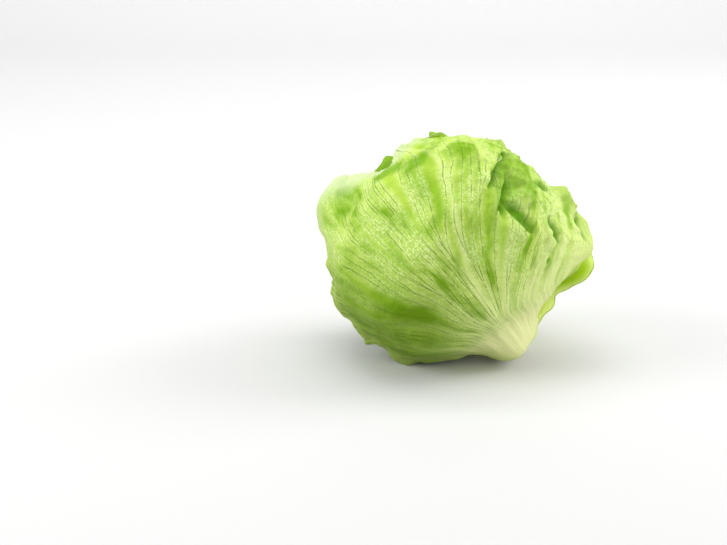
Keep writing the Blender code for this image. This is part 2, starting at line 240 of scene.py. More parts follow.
def nearLine(line, arc, turn):
    # distance to a line drawn on the head, signed by side, and the share of the way along it
    rho = radiusAt(arc)
    best = np.full(np.shape(arc), 1e9)
    sign = np.ones(np.shape(arc))
    along = np.zeros(np.shape(arc))
    count = len(line) - 1
    for k, ((a0, t0), (a1, t1)) in enumerate(zip(line[:-1], line[1:])):
        ax, ay = arc - a0, wrap(turn - t0) * np.radians(1.0) * rho
        bx, by = a1 - a0, (t1 - t0) * math.radians(1.0) * rho
        f = np.clip((ax * bx + ay * by) / (bx * bx + by * by + 1e-9), 0, 1)
        gap = np.hypot(ax - f * bx, ay - f * by)
        closer = gap < best
        best = np.where(closer, gap, best)
        sign = np.where(closer, np.sign(ax * by - ay * bx + 1e-9), sign)
        along = np.where(closer, (k + f) / count, along)
    return best, sign, along


def pressToFloor(points, depth):
    low = -floorDrop + layers["pressSpread"] * np.maximum(depth, 0.0)
    points[..., 2] = np.maximum(points[..., 2], low)
    return points


# rings run over the cut face as (place on the axis, radius)
stump = dict(
    around=160, face=6.0, end=21.5, radius=11.5, taper=0.42, gap=1.4, uneven=[(0.22, 5.0), (0.1, 1.6)],
    rings=[(6.5, 0.4), (6.45, 2.5), (6.3, 5.0), (6.12, 8.0), (6.0, 10.0), (6.2, 10.8), (6.6, 11.2),
           (7.4, 10.9)],
    pithCell=5.556, dotGap=1.923)


def stumpRadius(s):
    return stump["radius"] - stump["taper"] * (s - stump["face"])


def leafStart(rank, leaf):
    # arc from which on the leaf's inner face clears the stump
    steps = np.arange(11.5, 70.0, 0.25)
    u, arc = np.meshgrid(np.linspace(-1, 1, 41), steps)
    turn = table(leaf["rib"], arc) + u * halfWidth(leaf, u, arc)
    depth = layersOver(rank, arc, turn)[0] + thickness(arc)
    base, normal, rise, aim = headPoint(arc, turn)
    inner = base + normal * (rise - depth)[..., None]
    s = axisMiddle - inner @ buttAxis
    out = np.linalg.norm(inner + buttAxis * (s - axisMiddle)[..., None], axis=-1)
    free = (out - stumpRadius(s) > stump["gap"]) | (s > stump["end"] + stump["gap"])
    blocked = ~np.all(free & (out > 2.0), axis=1)
    return steps[np.nonzero(blocked)[0][-1] + 1] if blocked.any() else steps[0]


# Veins. They leave the base side by side and fan out over the leaf. The fan gives for a vein that crosses
# arc 60 at some turn its number and how far it has swung by each of the arcs listed.
fan = dict(
    arcs=(60, 90, 110, 130, 150, 170, 200, 240), neck=-12.0,  # neck: the turn that the veins gather to
    rows=[(-110, -25, (0, -14, -30, -50, -70, -90, -118, -150)),
          (-80, -19, (0, -14, -34, -58, -80, -100, -130, -170)),
          (-40, -12, (0, -14, -32, -54, -76, -96, -125, -165)),
          (-26, -8, (0, -11, -28, -46, -66, -84, -112, -150)),
          (-20, -6, (0, -5, -12, -23, -36, -52, -78, -110)),
          (-15, -4, (0, -3, -6, -13, -20, -28, -45, -65)),
          (-13, -3, (0, -3, -4, -7, -10, -16, -30, -48)),
          (-7, -1, (0, 0, -1, -3, -6, -7, -13, -20)),
          (-5.5, 0, (0, 1, 1, 1, 5, 13, 28, 48)),
          (-4, 1, (0, 4, 6, 11, 24, 42, 70, 104)),
          (-1, 3, (0, 7, 17, 30, 46, 62, 88, 125)),
          (5, 5, (0, 15, 31, 46, 62, 78, 102, 138)),
          (25, 9, (0, 18, 34, 50, 66, 82, 106, 140)),
          (60, 15, (0, 14, 28, 42, 56, 70, 90, 120)),
          (100, 23, (0, 10, 20, 30, 40, 50, 64, 80))])


def fanTurn(start, swing, arc):
    steps = np.arange(-20.0, 270.0, 2.0)
    bend = np.convolve(np.interp(steps, fan["arcs"], swing), np.ones(9) / 9.0, mode="same")
    neck = 1.0 + 0.7 * (1.0 - smooth((arc - 20.0) / 40.0))
    return fan["neck"] + (start - fan["neck"]) * neck + np.interp(arc, steps, bend)


def veinNumber(leaf, arc, turn):
    # whole numbers lie on a main vein
    turn = turn - leaf.get("fanShift", 0.0)
    number = np.zeros(np.shape(arc))
    for k, ((t0, n0, swing0), (t1, n1, swing1)) in enumerate(zip(fan["rows"][:-1], fan["rows"][1:])):
        low, high = fanTurn(t0, swing0, arc), fanTurn(t1, swing1, arc)
        share = (turn - low) / (high - low)
        number = np.where((share > 0) | (k == 0), n0 + share * (n1 - n0), number)
    return number


def veinField(leaf, arc, turn):
    # vein number and the distance between neighbouring main veins in millimetres
    reach = 0.4
    swing = np.degrees(reach / np.maximum(radiusAt(arc), 4.0))
    alongArc = (veinNumber(leaf, arc + reach, turn) - veinNumber(leaf, arc - reach, turn)) / (2 * reach)
    alongTurn = (veinNumber(leaf, arc, turn + swing) - veinNumber(leaf, arc, turn - swing)) / (2 * reach)
    return veinNumber(leaf, arc, turn), np.clip(1.0 / np.hypot(alongArc, alongTurn), 1.0, 40.0)


# Relief of every blade. Pairs are (height, cell) of soft noise, all in millimetres, only the teeth are
# shares of the leaf's half width.
blade = dict(
    torn=[(1.1, 5.0), (0.7, 2.1)], teeth=[(0.034, 7.0), (0.017, 3.1), (0.006, 1.4)],
    ruffleReach=18.0, ruffleLength=27.0, flareReach=30.0, frill=2.4, frillReach=9.0, frillCell=5.5,
    veinSway=[(0.08, 21.0), (0.04, 6.0)], veinHeight=0.22, veinWidth=1.1, quilt=0.045, quiltWidth=2.2,
    neckRidge=0.36, puckers=[(0.75, 13.0), (0.46, 6.0), (0.24, 2.8)], swell=1.2, swellCell=34.0,
    midrib=1.5, midribWidth=2.0, midribBase=3.5, thinRim=0.45, innerBand=34.0)

# The crumpled corner of the front leaf. A cliff is a line of (arc, turn): the leaf stands high on its upper
# side, curls over it as a lip and drops on the lower side, then climbs back over the run. Grooves are
# (line, depth, width), ridges the same with a height.
# A cliff's shade is how far past its foot the painted shade of the hollow reaches.
crumple = dict(
    fill=7.0, tilt=97, about=40, spread=15.0, creaseCell=9.0, crease=0.9, uneven=[(1.1, 7.0), (0.6, 2.8)],
    crinkle=1.3, crinkleCell=7.5, crinkleSwell=1.1, swellCell=5.0,
    cliffs=[dict(line=[(160, 68), (154, 60), (151, 46), (146, 37), (141, 30), (136, 25)],
                 drop=6.5, run=6.5, lip=2.6, over=2.4, shade=8.0),
            dict(line=[(142, 46), (136, 39), (130, 32), (124, 26), (117, 24)],
                 drop=6.0, run=7.5, lip=1.2, over=1.2, shade=10.0)],
    grooves=[([(124, 31), (119, 32), (111, 33), (101, 34)], 4.0, 4.2), ([(122, 54), (116, 62)], 2.6, 3.4),
             ([(101, 48), (93, 48), (84, 51)], 2.4, 2.6), ([(93, 80), (86, 77), (79, 75)], 2.4, 2.0),
             ([(78, 42), (75, 40)], 0.9, 1.6)],
    ridges=[([(148, 62), (134, 50), (122, 45), (110, 40), (99, 37)], 1.8, 3.4),
            ([(112, 24), (104, 27), (96, 34)], 1.2, 3.0), ([(103, 44), (94, 43), (85, 46)], 1.3, 2.2),
            ([(101, 53), (93, 53), (84, 56)], 1.3, 2.4)])


def crumpleShape(arc, turn, base, aim, upper):
    # lift off the head, slide towards the butt, the share of painted shade in the hollows, and how crinkled
    # the skin is
    fill = crumple["fill"] * bump(aim, crumple["tilt"], crumple["about"], crumple["spread"])
    creases = 1.0 - np.abs(cloud(base, crumple["creaseCell"], 12)) * 2.4
    lift = fill + crumple["crease"] * smooth(fill / 4.0) * np.maximum(creases, 0.0) ** 3
    crinkled = 0.25 * upper + 0.75 * smooth((wrap(turn) - 16.0) / 26.0) * smooth((arc - 62.0) / 26.0)
    finer = 1.0 - np.abs(cloud(base, crumple["crinkleCell"], 13)) * 3.4
    lift = lift + crinkled * (crumple["crinkle"] * np.maximum(finer, 0.0) ** 2
                              + crumple["crinkleSwell"] * cloud(base, crumple["swellCell"], 14))
    # painted shade: a darker, saturated green laid into the hollows below the cliffs and along the grooves
    hollowShade = np.zeros(arc.shape)
    slide = np.zeros(arc.shape)
    for cliff in crumple["cliffs"]:
        near, side, along = nearLine(cliff["line"], arc, turn)
        signed = near * side + cloudSum(base, crumple["uneven"], 18)
        ends = smooth(along * 4.0) * smooth((1.0 - along) * 3.5)
        foot = smooth(signed / 2.4 + 0.5)
        drop = foot * np.exp(-np.maximum(signed, 0.0) / cliff["run"])
        lip = (1.0 - foot) * np.exp(np.minimum(signed, 0.0) / 6.0)
        lift = lift + ends * (cliff["lip"] * lip - cliff["drop"] * drop)
        slide = slide + cliff["over"] * ends * (1.0 - foot) * np.exp(-(signed / 2.6) ** 2)
        hollowShade = np.maximum(hollowShade, ends * foot * np.exp(-np.maximum(signed, 0.0) / cliff["shade"]))
    for line, depth, wide in crumple["grooves"]:
        near, side, along = nearLine(line, arc, turn)
        taper = 0.45 + 0.55 * np.sin(np.clip(along, 0.02, 0.98) * math.pi) ** 0.6
        dip = smooth(1.3 - near / (wide * (1.0 + 0.35 * cloud(base, 4.0, 17)) * taper))
        lift = lift - depth * dip * taper
        hollowShade = np.maximum(hollowShade, dip * taper)
    for line, height, wide in crumple["ridges"]:
        near = nearLine(line, arc, turn)[0]
        lift = lift + height * np.exp(-0.5 * (near / wide) ** 2)
    return lift, slide, hollowShade, crinkled


def leafOutline(rank, leaf):
    # a grid of arcs and turns with a torn tip and toothed sides
    nu, nv = leaf["grid"]
    start = leafStart(rank, leaf)
    u = np.linspace(-1, 1, nu + 1)[:, None] * np.ones(nv + 1)[None]
    v = np.ones(nu + 1)[:, None] * np.linspace(0, 1, nv + 1)[None]
    tipPlace = np.stack([u * 90.0, u * 0.0 + 37.0 * rank, u * 0.0], -1)
    ragged = leaf.get("ragged", 1.0) * smooth(v * 2.0 - 1.0)
    tip = tipArc(leaf, u) + cloudSum(tipPlace, blade["torn"], 1) * ragged
    arc = start + v * (tip - start)
    sidePlace = np.stack([arc, u * 0.0 + 11.0 * rank, np.sign(u) * 50.0], -1)
    teeth = cloudSum(sidePlace, blade["teeth"], 3) * leaf.get("teeth", 1.0)
    notch = 1.0 + teeth * smooth((np.abs(u) - 0.86) / 0.14) * smooth((arc - 20.0) / 22.0)
    return arc, table(leaf["rib"], arc) + u * halfWidth(leaf, u, arc) * notch


def leafShape(rank, leaf):
    arc, turn = leafOutline(rank, leaf)
    base, normal, rise, aim = headPoint(arc, turn)
    depth, cover = layersOver(rank, arc, turn)
    openPart = 1.0 - cover
    rho = radiusAt(arc)
    edge = np.maximum(-placeInLeaf(leaf, arc, turn)[1], 0.0)
    upper = smooth((arc - 40.0) / 50.0)

    # the leaf's own curl, ruffle and frill, and the crumple of the front leaf
    wave = arc * 2 * math.pi / blade["ruffleLength"] + np.radians(turn) * leaf["turns"] + leaf["phase"]
    lift = leaf["ruffle"] * (1.0 - smooth(edge / blade["ruffleReach"])) * upper * (0.5 + 0.5 * np.sin(wave))
    for at, toward, height, along, across in leaf["flares"]:
        far = ((arc - at) / along) ** 2 + (wrap(turn - toward) * np.radians(1.0) * rho / across) ** 2
        lift = lift + height * np.exp(-0.5 * far) * (1.0 - smooth(edge / blade["flareReach"]))
    frill = blade["frill"] * (1.0 - smooth(edge / blade["frillReach"])) * leaf.get("ragged", 1.0)
    frillWave = cloud(np.stack([arc, np.radians(turn) * 60.0, arc * 0.0 + rank], -1), blade["frillCell"], 4)
    lift = lift + frill * smooth((arc - 24.0) / 24.0) * (0.4 + frillWave)
    slide, hollowShade, crinkled = 0.0 * arc, 0.0 * arc, 0.4 * upper
    if leaf["name"] == "leaf_2":
        folds, slide, hollowShade, crinkled = crumpleShape(arc, turn, base, aim, upper)
        lift = lift + folds

    # veins, the quilting between them, ridges that run into the butt, puckers and the midrib
    surface = base + normal * rise[..., None]
    number, step = veinField(leaf, arc, turn)
    number = number + upper * cloudSum(surface, blade["veinSway"], 2 + rank)
    away = np.abs(number - np.round(number)) * step
    neck = 1.0 - smooth((arc - 26.0) / 60.0)
    relief = (blade["veinHeight"] - 0.14 * neck) * np.exp(-(away / blade["veinWidth"]) ** 2)
    ridgePlace = np.stack([number * 2.0, arc * 0.05, arc * 0.0], -1)
    ridges = np.cos(number * math.pi / 2.1 + 2.2 * cloud(ridgePlace, 3.0, 15))
    relief = relief + blade["neckRidge"] * neck * smooth((arc - 14.0) / 22.0) * ridges
    quilt = np.minimum(step, 8.0) * (1.0 - np.exp(-(away / blade["quiltWidth"]) ** 2))
    relief = relief + upper * (blade["quilt"] * quilt + cloudSum(surface, blade["puckers"], 5 + rank))
    relief = relief + blade["swell"] * cloud(surface, blade["swellCell"], 9 + rank) * smooth(edge / 12.0)
    ribGap = np.abs(wrap(turn - table(leaf["rib"], arc))) * np.radians(1.0) * rho
    ribWidth = blade["midribWidth"] + blade["midribBase"] * (1.0 - smooth((arc - 20.0) / 90.0))
    rib = (1.0 - 0.6 * smooth((arc - 40.0) / 140.0)) * np.exp(-(ribGap / ribWidth) ** 2)
    relief = relief + blade["midrib"] * rib
    lift = lift * openPart + relief * (0.25 + 0.75 * openPart)

    thick = thickness(arc) * (blade["thinRim"] + (1.0 - blade["thinRim"]) * smooth(edge / 5.0))
    downhill = headPoint(arc - 0.5, turn)[0] - headPoint(arc + 0.5, turn)[0]
    outer = surface + normal * (lift - depth)[..., None] + downhill * slide[..., None]
    inner = outer - normal * thick[..., None]
    outer = pressToFloor(outer, depth - lift)
    inner = pressToFloor(inner, depth - lift + thick)

    # patches make the blade greener or paler in given spots; the one at arc 126, turn -40 is painted shade
    patch = 0.0 * arc
    for at, toward, along, across, greener in leaf.get("patches", []):
        aside = wrap(turn - toward) * np.radians(1.0) * rho
        patch = patch + greener * np.exp(-((arc - at) / along) ** 2 - (aside / across) ** 2)
    crownEdge = 172.0 + 0.5 * (wrap(turn) + 60.0)
    facts = dict(  # what the leaf material draws from, kept at every vertex
        vein=number, step=step, arc=arc, hollowShade=hollowShade, crinkle=crinkled,
        patch=patch * (0.65 + 0.35 * cloud(surface, 9.0, 31)),
        pale=np.clip(1.1 * rib + 0.9 * (1.0 - smooth((arc - 34.0) / 62.0))
                     + 0.7 * (1.0 - smooth((arc - 46.0) / 90.0)) * smooth(ridges * 0.7 + 0.45), 0, 1),
        butt=1.0 - smooth((arc - 24.0) / 34.0),
        # painted shade: darker green towards the bottom left of the head, standing in for shadow there
        low=smooth((22.0 - outer[..., 2]) / 64.0) * smooth((44.0 - outer[..., 0]) / 64.0),
        quiet=np.maximum(smooth((wrap(turn) - 26.0) / 26.0), smooth((arc - crownEdge) / 22.0)),
        rim=1.0 - smooth(edge / leaf.get("rimWide", 8.0)))
    return outer, inner, edge, facts


def meshFrom(name, verts, faces):
    mesh = bpy.data.meshes.new(name)
    mesh.from_pydata(((verts + headCentre) * mm).tolist(), [], faces)
    mesh.update()
    mesh.shade_smooth()
    return mesh


def addFact(mesh, key, values):
    layer = mesh.attributes.new(key, "FLOAT", "POINT")
    layer.data.foreach_set("value", np.asarray(values, np.float32))


def addPiece(name, mesh, material):
    obj = bpy.data.objects.new(name, mesh)
    bpy.context.scene.collection.objects.link(obj)
    mesh.materials.append(material)
    return obj


def addLeaf(name, outer, inner, edge, facts, material):
    # outer face over the whole leaf, inner face only near the margins where it can be seen, and a rim
    count = edge.size
    index = np.arange(count).reshape(edge.shape)
    quads = np.stack([index[:-1, :-1], index[1:, :-1], index[1:, 1:], index[:-1, 1:]], -1).reshape(-1, 4)
    near = edge < blade["innerBand"]
    band = (near[:-1, :-1] & near[1:, :-1] & near[1:, 1:] & near[:-1, 1:]).reshape(-1)
    innerQuads = quads[band][:, ::-1] + count
    ring = np.concatenate([index[:, 0], index[-1, 1:], index[-2::-1, -1], index[0, -2:0:-1]])
    after = np.roll(ring, -1)
    rim = np.stack([after, ring, ring + count, after + count], -1)
    verts = np.vstack([outer.reshape(-1, 3), inner.reshape(-1, 3)])
    faces = np.vstack([quads, innerQuads, rim])
    used = np.zeros(len(verts), bool)
    used[faces.reshape(-1)] = True
    faces = (np.cumsum(used) - 1)[faces]
    verts = verts[used]

    # the outer half of the faces has to look away from the head's middle
    a, b, c = (verts[faces[:, k]] for k in range(3))
    if np.einsum("ij,ij->i", a, np.cross(b, c))[: len(faces) // 2].sum() < 0:
        faces = faces[:, ::-1]
    mesh = meshFrom(name, verts, faces.tolist())
    for key, value in facts.items():
        addFact(mesh, key, np.tile(value.reshape(-1), 2)[used])
    addFact(mesh, "inside", np.repeat([0.0, 1.0], count)[used])
    return addPiece(name, mesh, material)


# Materials. addNode makes a node with its settings and links, and gives back one of its outputs.

def linear(hexColour):
    out = []
    for k in (1, 3, 5):
        c = int(hexColour[k:k + 2], 16) / 255.0
        out.append(c / 12.92 if c <= 0.04045 else ((c + 0.055) / 1.055) ** 2.4)
    return (*out, 1.0)


def addNode(tree, kind, inputs, out=0, **settings):
    node = tree.nodes.new("ShaderNode" + kind)
    for key, value in settings.items():
        setattr(node, key, value)
    for key, value in (inputs.items() if isinstance(inputs, dict) else enumerate(inputs)):
        if isinstance(value, bpy.types.NodeSocket):
            tree.links.new(value, node.inputs[key])
        else:
            node.inputs[key].default_value = value
    return node.outputs[out] if len(node.outputs) else None


def newMaterial(name):
    material = bpy.data.materials.new(name)
    material.use_nodes = True
    material.node_tree.nodes.clear()
    return material, material.node_tree


def weigh(tree, share, factors):
    # a share made weaker or stronger by each (value, gain, base)
    for value, gain, base in factors:
        factor = addNode(tree, "Math", [value, gain, base], operation="MULTIPLY_ADD")
        share = addNode(tree, "Math", [share, factor], operation="MULTIPLY")
    return share


def coatOver(tree, colour, coats):
    # each coat is (share, colour) and lies over the ones before it
    for share, over in coats:
        over = linear(over) if isinstance(over, str) else over
        colour = addNode(tree, "Mix", {0: share, 6: colour, 7: over}, 2, data_type="RGBA")
    return colour


# Sizes of the leaf's patterns in millimetres. The frost's grains and the skin cells are well under one on a
# real leaf, and are drawn two or three times as coarse so that they still show in the render.
pattern = dict(patch=21.74, grain=1.923, frost=1.316, cell=1.786, broken=8.333, wrinkle=6.667,
               crossGap=5.2, veinFrost=4.6)


def scaleFor(size):
    return 1.0 / (size * mm)


def leafMaterial(name, look):
    # leaf blade under a thin wax bloom: juicy green that lets some light through, with a dull soft gloss,
    # pale ribs, frost beside the veins and thin dark vein lines
    material, tree = newMaterial(name)
    add = partial(addNode, tree)
    vein, step, arc, patch, low, quiet, rim, hollowShade, pale, butt, crinkle, inside = [
        add("Attribute", {}, "Fac", attribute_type="GEOMETRY", attribute_name=key)
        for key in ("vein", "step", "arc", "patch", "low", "quiet", "rim", "hollowShade", "pale", "butt", "crinkle",
                    "inside")]
    place = add("TexCoord", {}, "Object")
    share = add("Math", [vein], operation="FRACT")
    draw = add("TexWhiteNoise", {"W": add("Math", [vein], operation="FLOOR")}, "Color", noise_dimensions="1D")
    chance = add("SeparateColor", [draw]).node.outputs

    # main veins, and two branches that leave their neighbours further up
    halfGap = add("Math", [vein, 0.5], operation="PINGPONG")
    nearest = add("Math", [halfGap, step], operation="MULTIPLY")
    branches = (("Red", 62.0, 70.0, 0.5, 0.0), ("Green", 84.0, 90.0, -0.3, 1.0))
    for source, first, later, reach, origin in branches:
        leave = add("Math", [chance[source], later, first], operation="MULTIPLY_ADD")
        arrive = add("Math", [leave, 46.0], operation="ADD")
        swing = add("MapRange", [arc, leave, arrive, origin, origin + reach],
                    interpolation_type="SMOOTHSTEP")
        off = add("Math", [add("Math", [share, swing], operation="SUBTRACT")], operation="ABSOLUTE")
        off = add("Math", [off, step], operation="MULTIPLY")
        nearest = add("Math", [nearest, off], operation="MINIMUM")

    # fine cross veins slanting from one vein to the next
    across = add("Math", [share, step], operation="MULTIPLY")
    climb = add("Math", [arc, 0.15], operation="MULTIPLY")
    slant = add("Math", [across, 0.11, climb], operation="MULTIPLY_ADD")
    crossed = add("Math", [chance["Blue"], 9.0, slant], operation="MULTIPLY_ADD")
    crossed = add("Math", [crossed, 0.5], operation="PINGPONG")
    crossed = add("Math", [crossed, pattern["crossGap"]], operation="MULTIPLY")

    # streaks follow the veins, the other patterns lie on the blade as it is
    alongVein = add("CombineXYZ", [add("Math", [vein, 0.62], operation="MULTIPLY"),
                                   add("Math", [arc, 0.034], operation="MULTIPLY"), look["seed"]])
    streaks = add("TexNoise", {"Vector": alongVein, "Scale": 1.0, "Detail": 3.0})
    patches, grain, broken = [
        add("TexNoise", {"Vector": place, "Scale": scaleFor(pattern[key]), "Detail": detail})
        for key, detail in (("patch", 2.0), ("grain", 3.0), ("broken", 2.0))]
    mottle = add("TexNoise", {"Vector": place, "Scale": scaleFor(pattern["frost"]), "Detail": 3.0,
                              "Roughness": 0.8})
    cells = add("TexVoronoi", {"Vector": place, "Scale": scaleFor(pattern["cell"])}, feature="SMOOTH_F1")
    wrinkles = add("TexNoise", {"Vector": place, "Scale": scaleFor(pattern["wrinkle"]), "Detail": 3.0},
                   noise_type="RIDGED_MULTIFRACTAL", normalize=True)

    # shares of each tone
    green = add("Math", [add("MapRange", [streaks, 0.5, 0.64]), look["streak"], patch],
                operation="MULTIPLY_ADD", use_clamp=True)
    # painted shade towards the lower left: darker green there, with less frost and fewer pale ribs (below)
    lowShadeShare = weigh(tree, low, [(add("MapRange", [streaks, 0.4, 0.6]), 0.25, look["lowShadeShare"])])
    frost = weigh(tree, add("MapRange", [nearest, pattern["veinFrost"], 0.6]), [
        (add("MapRange", [streaks, 0.64, 0.42]), look["frost"], 0.0),
        (add("MapRange", [mottle, 0.44, 0.58]), 0.8, 0.2), (low, -0.92, 1.0), (patch, -0.6, 1.0)])
    paleShare = weigh(tree, pale, [(low, -0.6, look["paleShare"])])
    cream = weigh(tree, butt, [(add("MapRange", [streaks, 0.4, 0.66]), -0.2, 1.0)])
    crownward = add("MapRange", [arc, 165.0, 195.0])
    marginShare = weigh(tree, rim, [(crownward, 0.3, 0.6)])
    crossLines = add("Math", [add("MapRange", [crossed, 0.34, 0.1]), add("MapRange", [patches, 0.44, 0.6])],
                     operation="MULTIPLY")
    lines = add("MapRange", [nearest, look["lineWidth"], look["lineWidth"] * 0.35])
    lines = add("Math", [crossLines, 0.25, lines], operation="MULTIPLY_ADD", use_clamp=True)
    lines = weigh(tree, lines, [
        (add("MapRange", [arc, 30.0, 74.0]), look["lineShare"], 0.0),
        (add("MapRange", [patches, 0.2, 0.56]), 1.0, 0.0),
        (add("MapRange", [broken, 0.4, 0.56]), 0.65, 0.35), (quiet, -0.8, 1.0)])
    # painted shade: darker, saturated green in the hollows of the crumple
    hollowShadeShare = add("Math", [hollowShade, look["hollowShadeShare"]], operation="MULTIPLY")
    insideShare = add("Math", [inside, 0.9], operation="MULTIPLY")

    margin = coatOver(tree, linear(look["margin"]), [(crownward, look["marginPale"])])
    # inner face: its own paler tone, brightened to a vivid yellow-green and near white at the rim as painted
    # light shining through the thin margin
    innerFaceToneAndGlow = coatOver(tree, linear(look["innerFaceToneAndGlow"]), [
        (add("MapRange", [rim, 0.5, 0.95]), look["innerRimToneAndGlow"])])
    colour = coatOver(tree, linear(look["blade"]), [
        (add("MapRange", [patches, 0.36, 0.66]), look["bladeLight"]), (green, look["bladeDark"]),
        (lowShadeShare, look["low"]), (frost, look["blister"]), (paleShare, look["rib"]), (cream, look["butt"]),
        (marginShare, margin), (lines, look["line"]), (hollowShadeShare, look["hollowShade"]), (insideShare, innerFaceToneAndGlow)])

    # fine relief: skin cells, grain, wrinkles of the crumple, and a groove on top of each raised vein
    height = weigh(tree, wrinkles, [(crinkle, 2.4, 0.0)])
    for part, gain in ((cells, -0.5), (grain, 0.8), (add("MapRange", [nearest, 1.6, 0.3]), 0.5),
                       (add("MapRange", [nearest, 0.5, 0.1]), -0.5)):
        height = add("Math", [part, gain, height], operation="MULTIPLY_ADD")
    relief = add("Bump", {"Strength": look["bump"], "Distance": 0.0006, "Height": height})
    rough = add("Math", [grain, 0.22, look["rough"]], operation="MULTIPLY_ADD")
    skin = add("BsdfPrincipled", {
        "Base Color": colour, "Roughness": rough, "Normal": relief, "IOR": 1.42, "Specular IOR Level": 0.1,
        "Subsurface Weight": look["subsurface"], "Subsurface Radius": (0.6, 1.0, 0.22),
        "Subsurface Scale": 0.0022})
    glow = add("BsdfTranslucent", {"Color": colour, "Normal": relief})
    thin = add("Math", [rim, look["rimGlow"], look["glow"]], operation="MULTIPLY_ADD")
    add("OutputMaterial", [add("MixShader", [thin, skin, glow])])
    return material


# Plant tissue has an IOR near 1.42. The wax bloom takes most of its gloss, so the specular level is low.
frontLeafLook = dict(
    # 5c7d06 is painted shade towards the lower left of the head
    seed=0.0, blade="#97bf2e", bladeLight="#b5d150", bladeDark="#72a210", low="#5c7d06", margin="#cfe37c",
    # 5f9a00 is painted shade for the hollows of the crumple
    marginPale="#e4f0c2", rib="#dde89c", blister="#dbec9e", butt="#eff1b2", line="#47700e", hollowShade="#5f9a00",
    # e2fb48 and #fbffdc: the inner face's paler tone brightened as painted light through the thin margin
    innerFaceToneAndGlow="#e2fb48", innerRimToneAndGlow="#fbffdc", streak=0.8, lowShadeShare=0.7, frost=1.0, paleShare=0.75,
    lineShare=0.72, lineWidth=0.4, hollowShadeShare=0.95, bump=0.45, rough=0.4, subsurface=0.1, glow=0.1,
    rimGlow=0.25)
# e6ff4c: the inner face's tone brightened as painted light through the thin margin
outerLook = dict(frontLeafLook, seed=4.0, marginPale="#86b22c", innerFaceToneAndGlow="#e6ff4c", rimGlow=0.9)
innerLook = dict(frontLeafLook, seed=8.0, blade="#a2c846", bladeLight="#bddb6c", bladeDark="#84b028",
                 margin="#9cc638", marginPale="#86b22c")
heartLook = dict(frontLeafLook, seed=12.0, blade="#c6dc82", bladeLight="#d4e59a", bladeDark="#b0cf64",
                 lineShare=0.12, frost=0.6)

outerMaterial = leafMaterial("outerLeafWaxyGreen", outerLook)
frontMaterial = leafMaterial("frontLeafWaxyGreen", frontLeafLook)
innerMaterial = leafMaterial("innerLeafWaxyGreen", innerLook)
heartMaterial = leafMaterial("heartLeafPale", heartLook)
finish = {"leaf_1": (outerMaterial, "leaf_outer"), "leaf_2": (frontMaterial, "leaf_front")}
print("leaf materials done")

for rank, leaf in enumerate(leaves):
    name = leaf["name"]
    material, slot = finish.get(name, (innerMaterial, "leaf_inner"))
    piece = addLeaf(name + "_blade", *leafShape(rank, leaf), material)
    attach(piece, "root")
    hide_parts(name)
    print(name, "done, faces", len(piece.data.polygons))


# The heart: one dense ball whose crown shows the margins of folded inner leaves. A fold is a leaf's rib
# angle, its half width in degrees and the arc of its tip.
heart = dict(
    grid=(220, 150), first=30.0, folds=[(60, 100, 228), (-75, 105, 222), (150, 95, 218), (10, 80, 210)],
    step=1.3, lip=0.7, gap=0.8, waves=[(0.5, 11.0), (0.2, 4.0)], veinGap=8.0)


def heartShape():
    nu, nv = heart["grid"]
    turn = (np.arange(nu) * 360.0 / nu)[:, None] * np.ones(nv + 1)[None]
    climb = (arcEnd - 1.5 - heart["first"]) * np.linspace(0, 1, nv + 1) ** 0.92
    arc = np.ones(nu)[:, None] * (heart["first"] + climb)[None]
    base, normal, rise, aim = headPoint(arc, turn)
    depth, cover = layersOver(len(leaves), arc, turn)
    depth = np.maximum(depth, 13.0 * (1.0 - smooth((arc - 30.0) / 60.0))) + heart["gap"]
    relief = np.zeros(arc.shape)
    rim = np.zeros(arc.shape)
    for k, (rib, half, top) in enumerate(heart["folds"]):
        off = np.abs(wrap(turn - rib))
        wobble = 3.0 * cloud(base, 14.0, 20 + k) + 1.2 * cloud(base, 6.0, 24 + k)
        edge = np.minimum((half - off) * np.radians(1.0) * radiusAt(arc), top - arc) + wobble
        relief = relief + heart["step"] * smooth(0.5 + edge / 1.6)
        relief = relief + heart["lip"] * np.exp(-((edge - 1.2) / 1.6) ** 2)
        rim = np.maximum(rim, np.exp(-(edge / 2.5) ** 2))
    relief = (relief - heart["step"] * len(heart["folds"])) * (1.0 - cover)
    relief = relief + cloudSum(base, heart["waves"], 30)
    points = pressToFloor(base + normal * (rise - depth + relief)[..., None], depth)
    number = np.minimum(turn, 360.0 - turn) / heart["veinGap"] + 0.25 * cloud(base, 20.0, 33)
    step = np.clip(heart["veinGap"] * np.radians(1.0) * radiusAt(arc), 1.0, 12.0)
    even, none = np.full(arc.shape, 0.3), np.zeros(arc.shape)
    return points, dict(vein=number, step=step, arc=arc, pale=even, crinkle=even, rim=rim, butt=none,
                        hollowShade=none, low=none, quiet=none, patch=none)


def heartMesh():
    points, facts = heartShape()
    nu, nv = points.shape[0], points.shape[1] - 1
    index = np.arange(nu * (nv + 1)).reshape(nu, nv + 1)
    after = np.roll(index, -1, axis=0)
    quads = np.stack([index[:, :-1], after[:, :-1], after[:, 1:], index[:, 1:]], -1).reshape(-1, 4)
    bottom = -buttAxis * (stump["end"] + 0.8 - axisMiddle)
    crown = points[:, -1].mean(axis=0)
    verts = np.vstack([points.reshape(-1, 3), bottom[None], crown[None]])
    low, high = len(verts) - 2, len(verts) - 1
    caps = [(low, b, a) for a, b in zip(index[:, 0].tolist(), after[:, 0].tolist())]
    caps += [(high, a, b) for a, b in zip(index[:, -1].tolist(), after[:, -1].tolist())]
    mesh = meshFrom("heart_ball", verts, quads.tolist() + caps)
    for key, value in facts.items():
        addFact(mesh, key, np.concatenate([value.reshape(-1), [0.0, 0.0]]))
    addFact(mesh, "inside", np.zeros(len(verts)))
    return mesh


heartPiece = addPiece("heart_ball", heartMesh(), heartMaterial)
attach(heartPiece, "root")
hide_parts("heart")
print("heart done, faces", len(heartPiece.data.polygons))


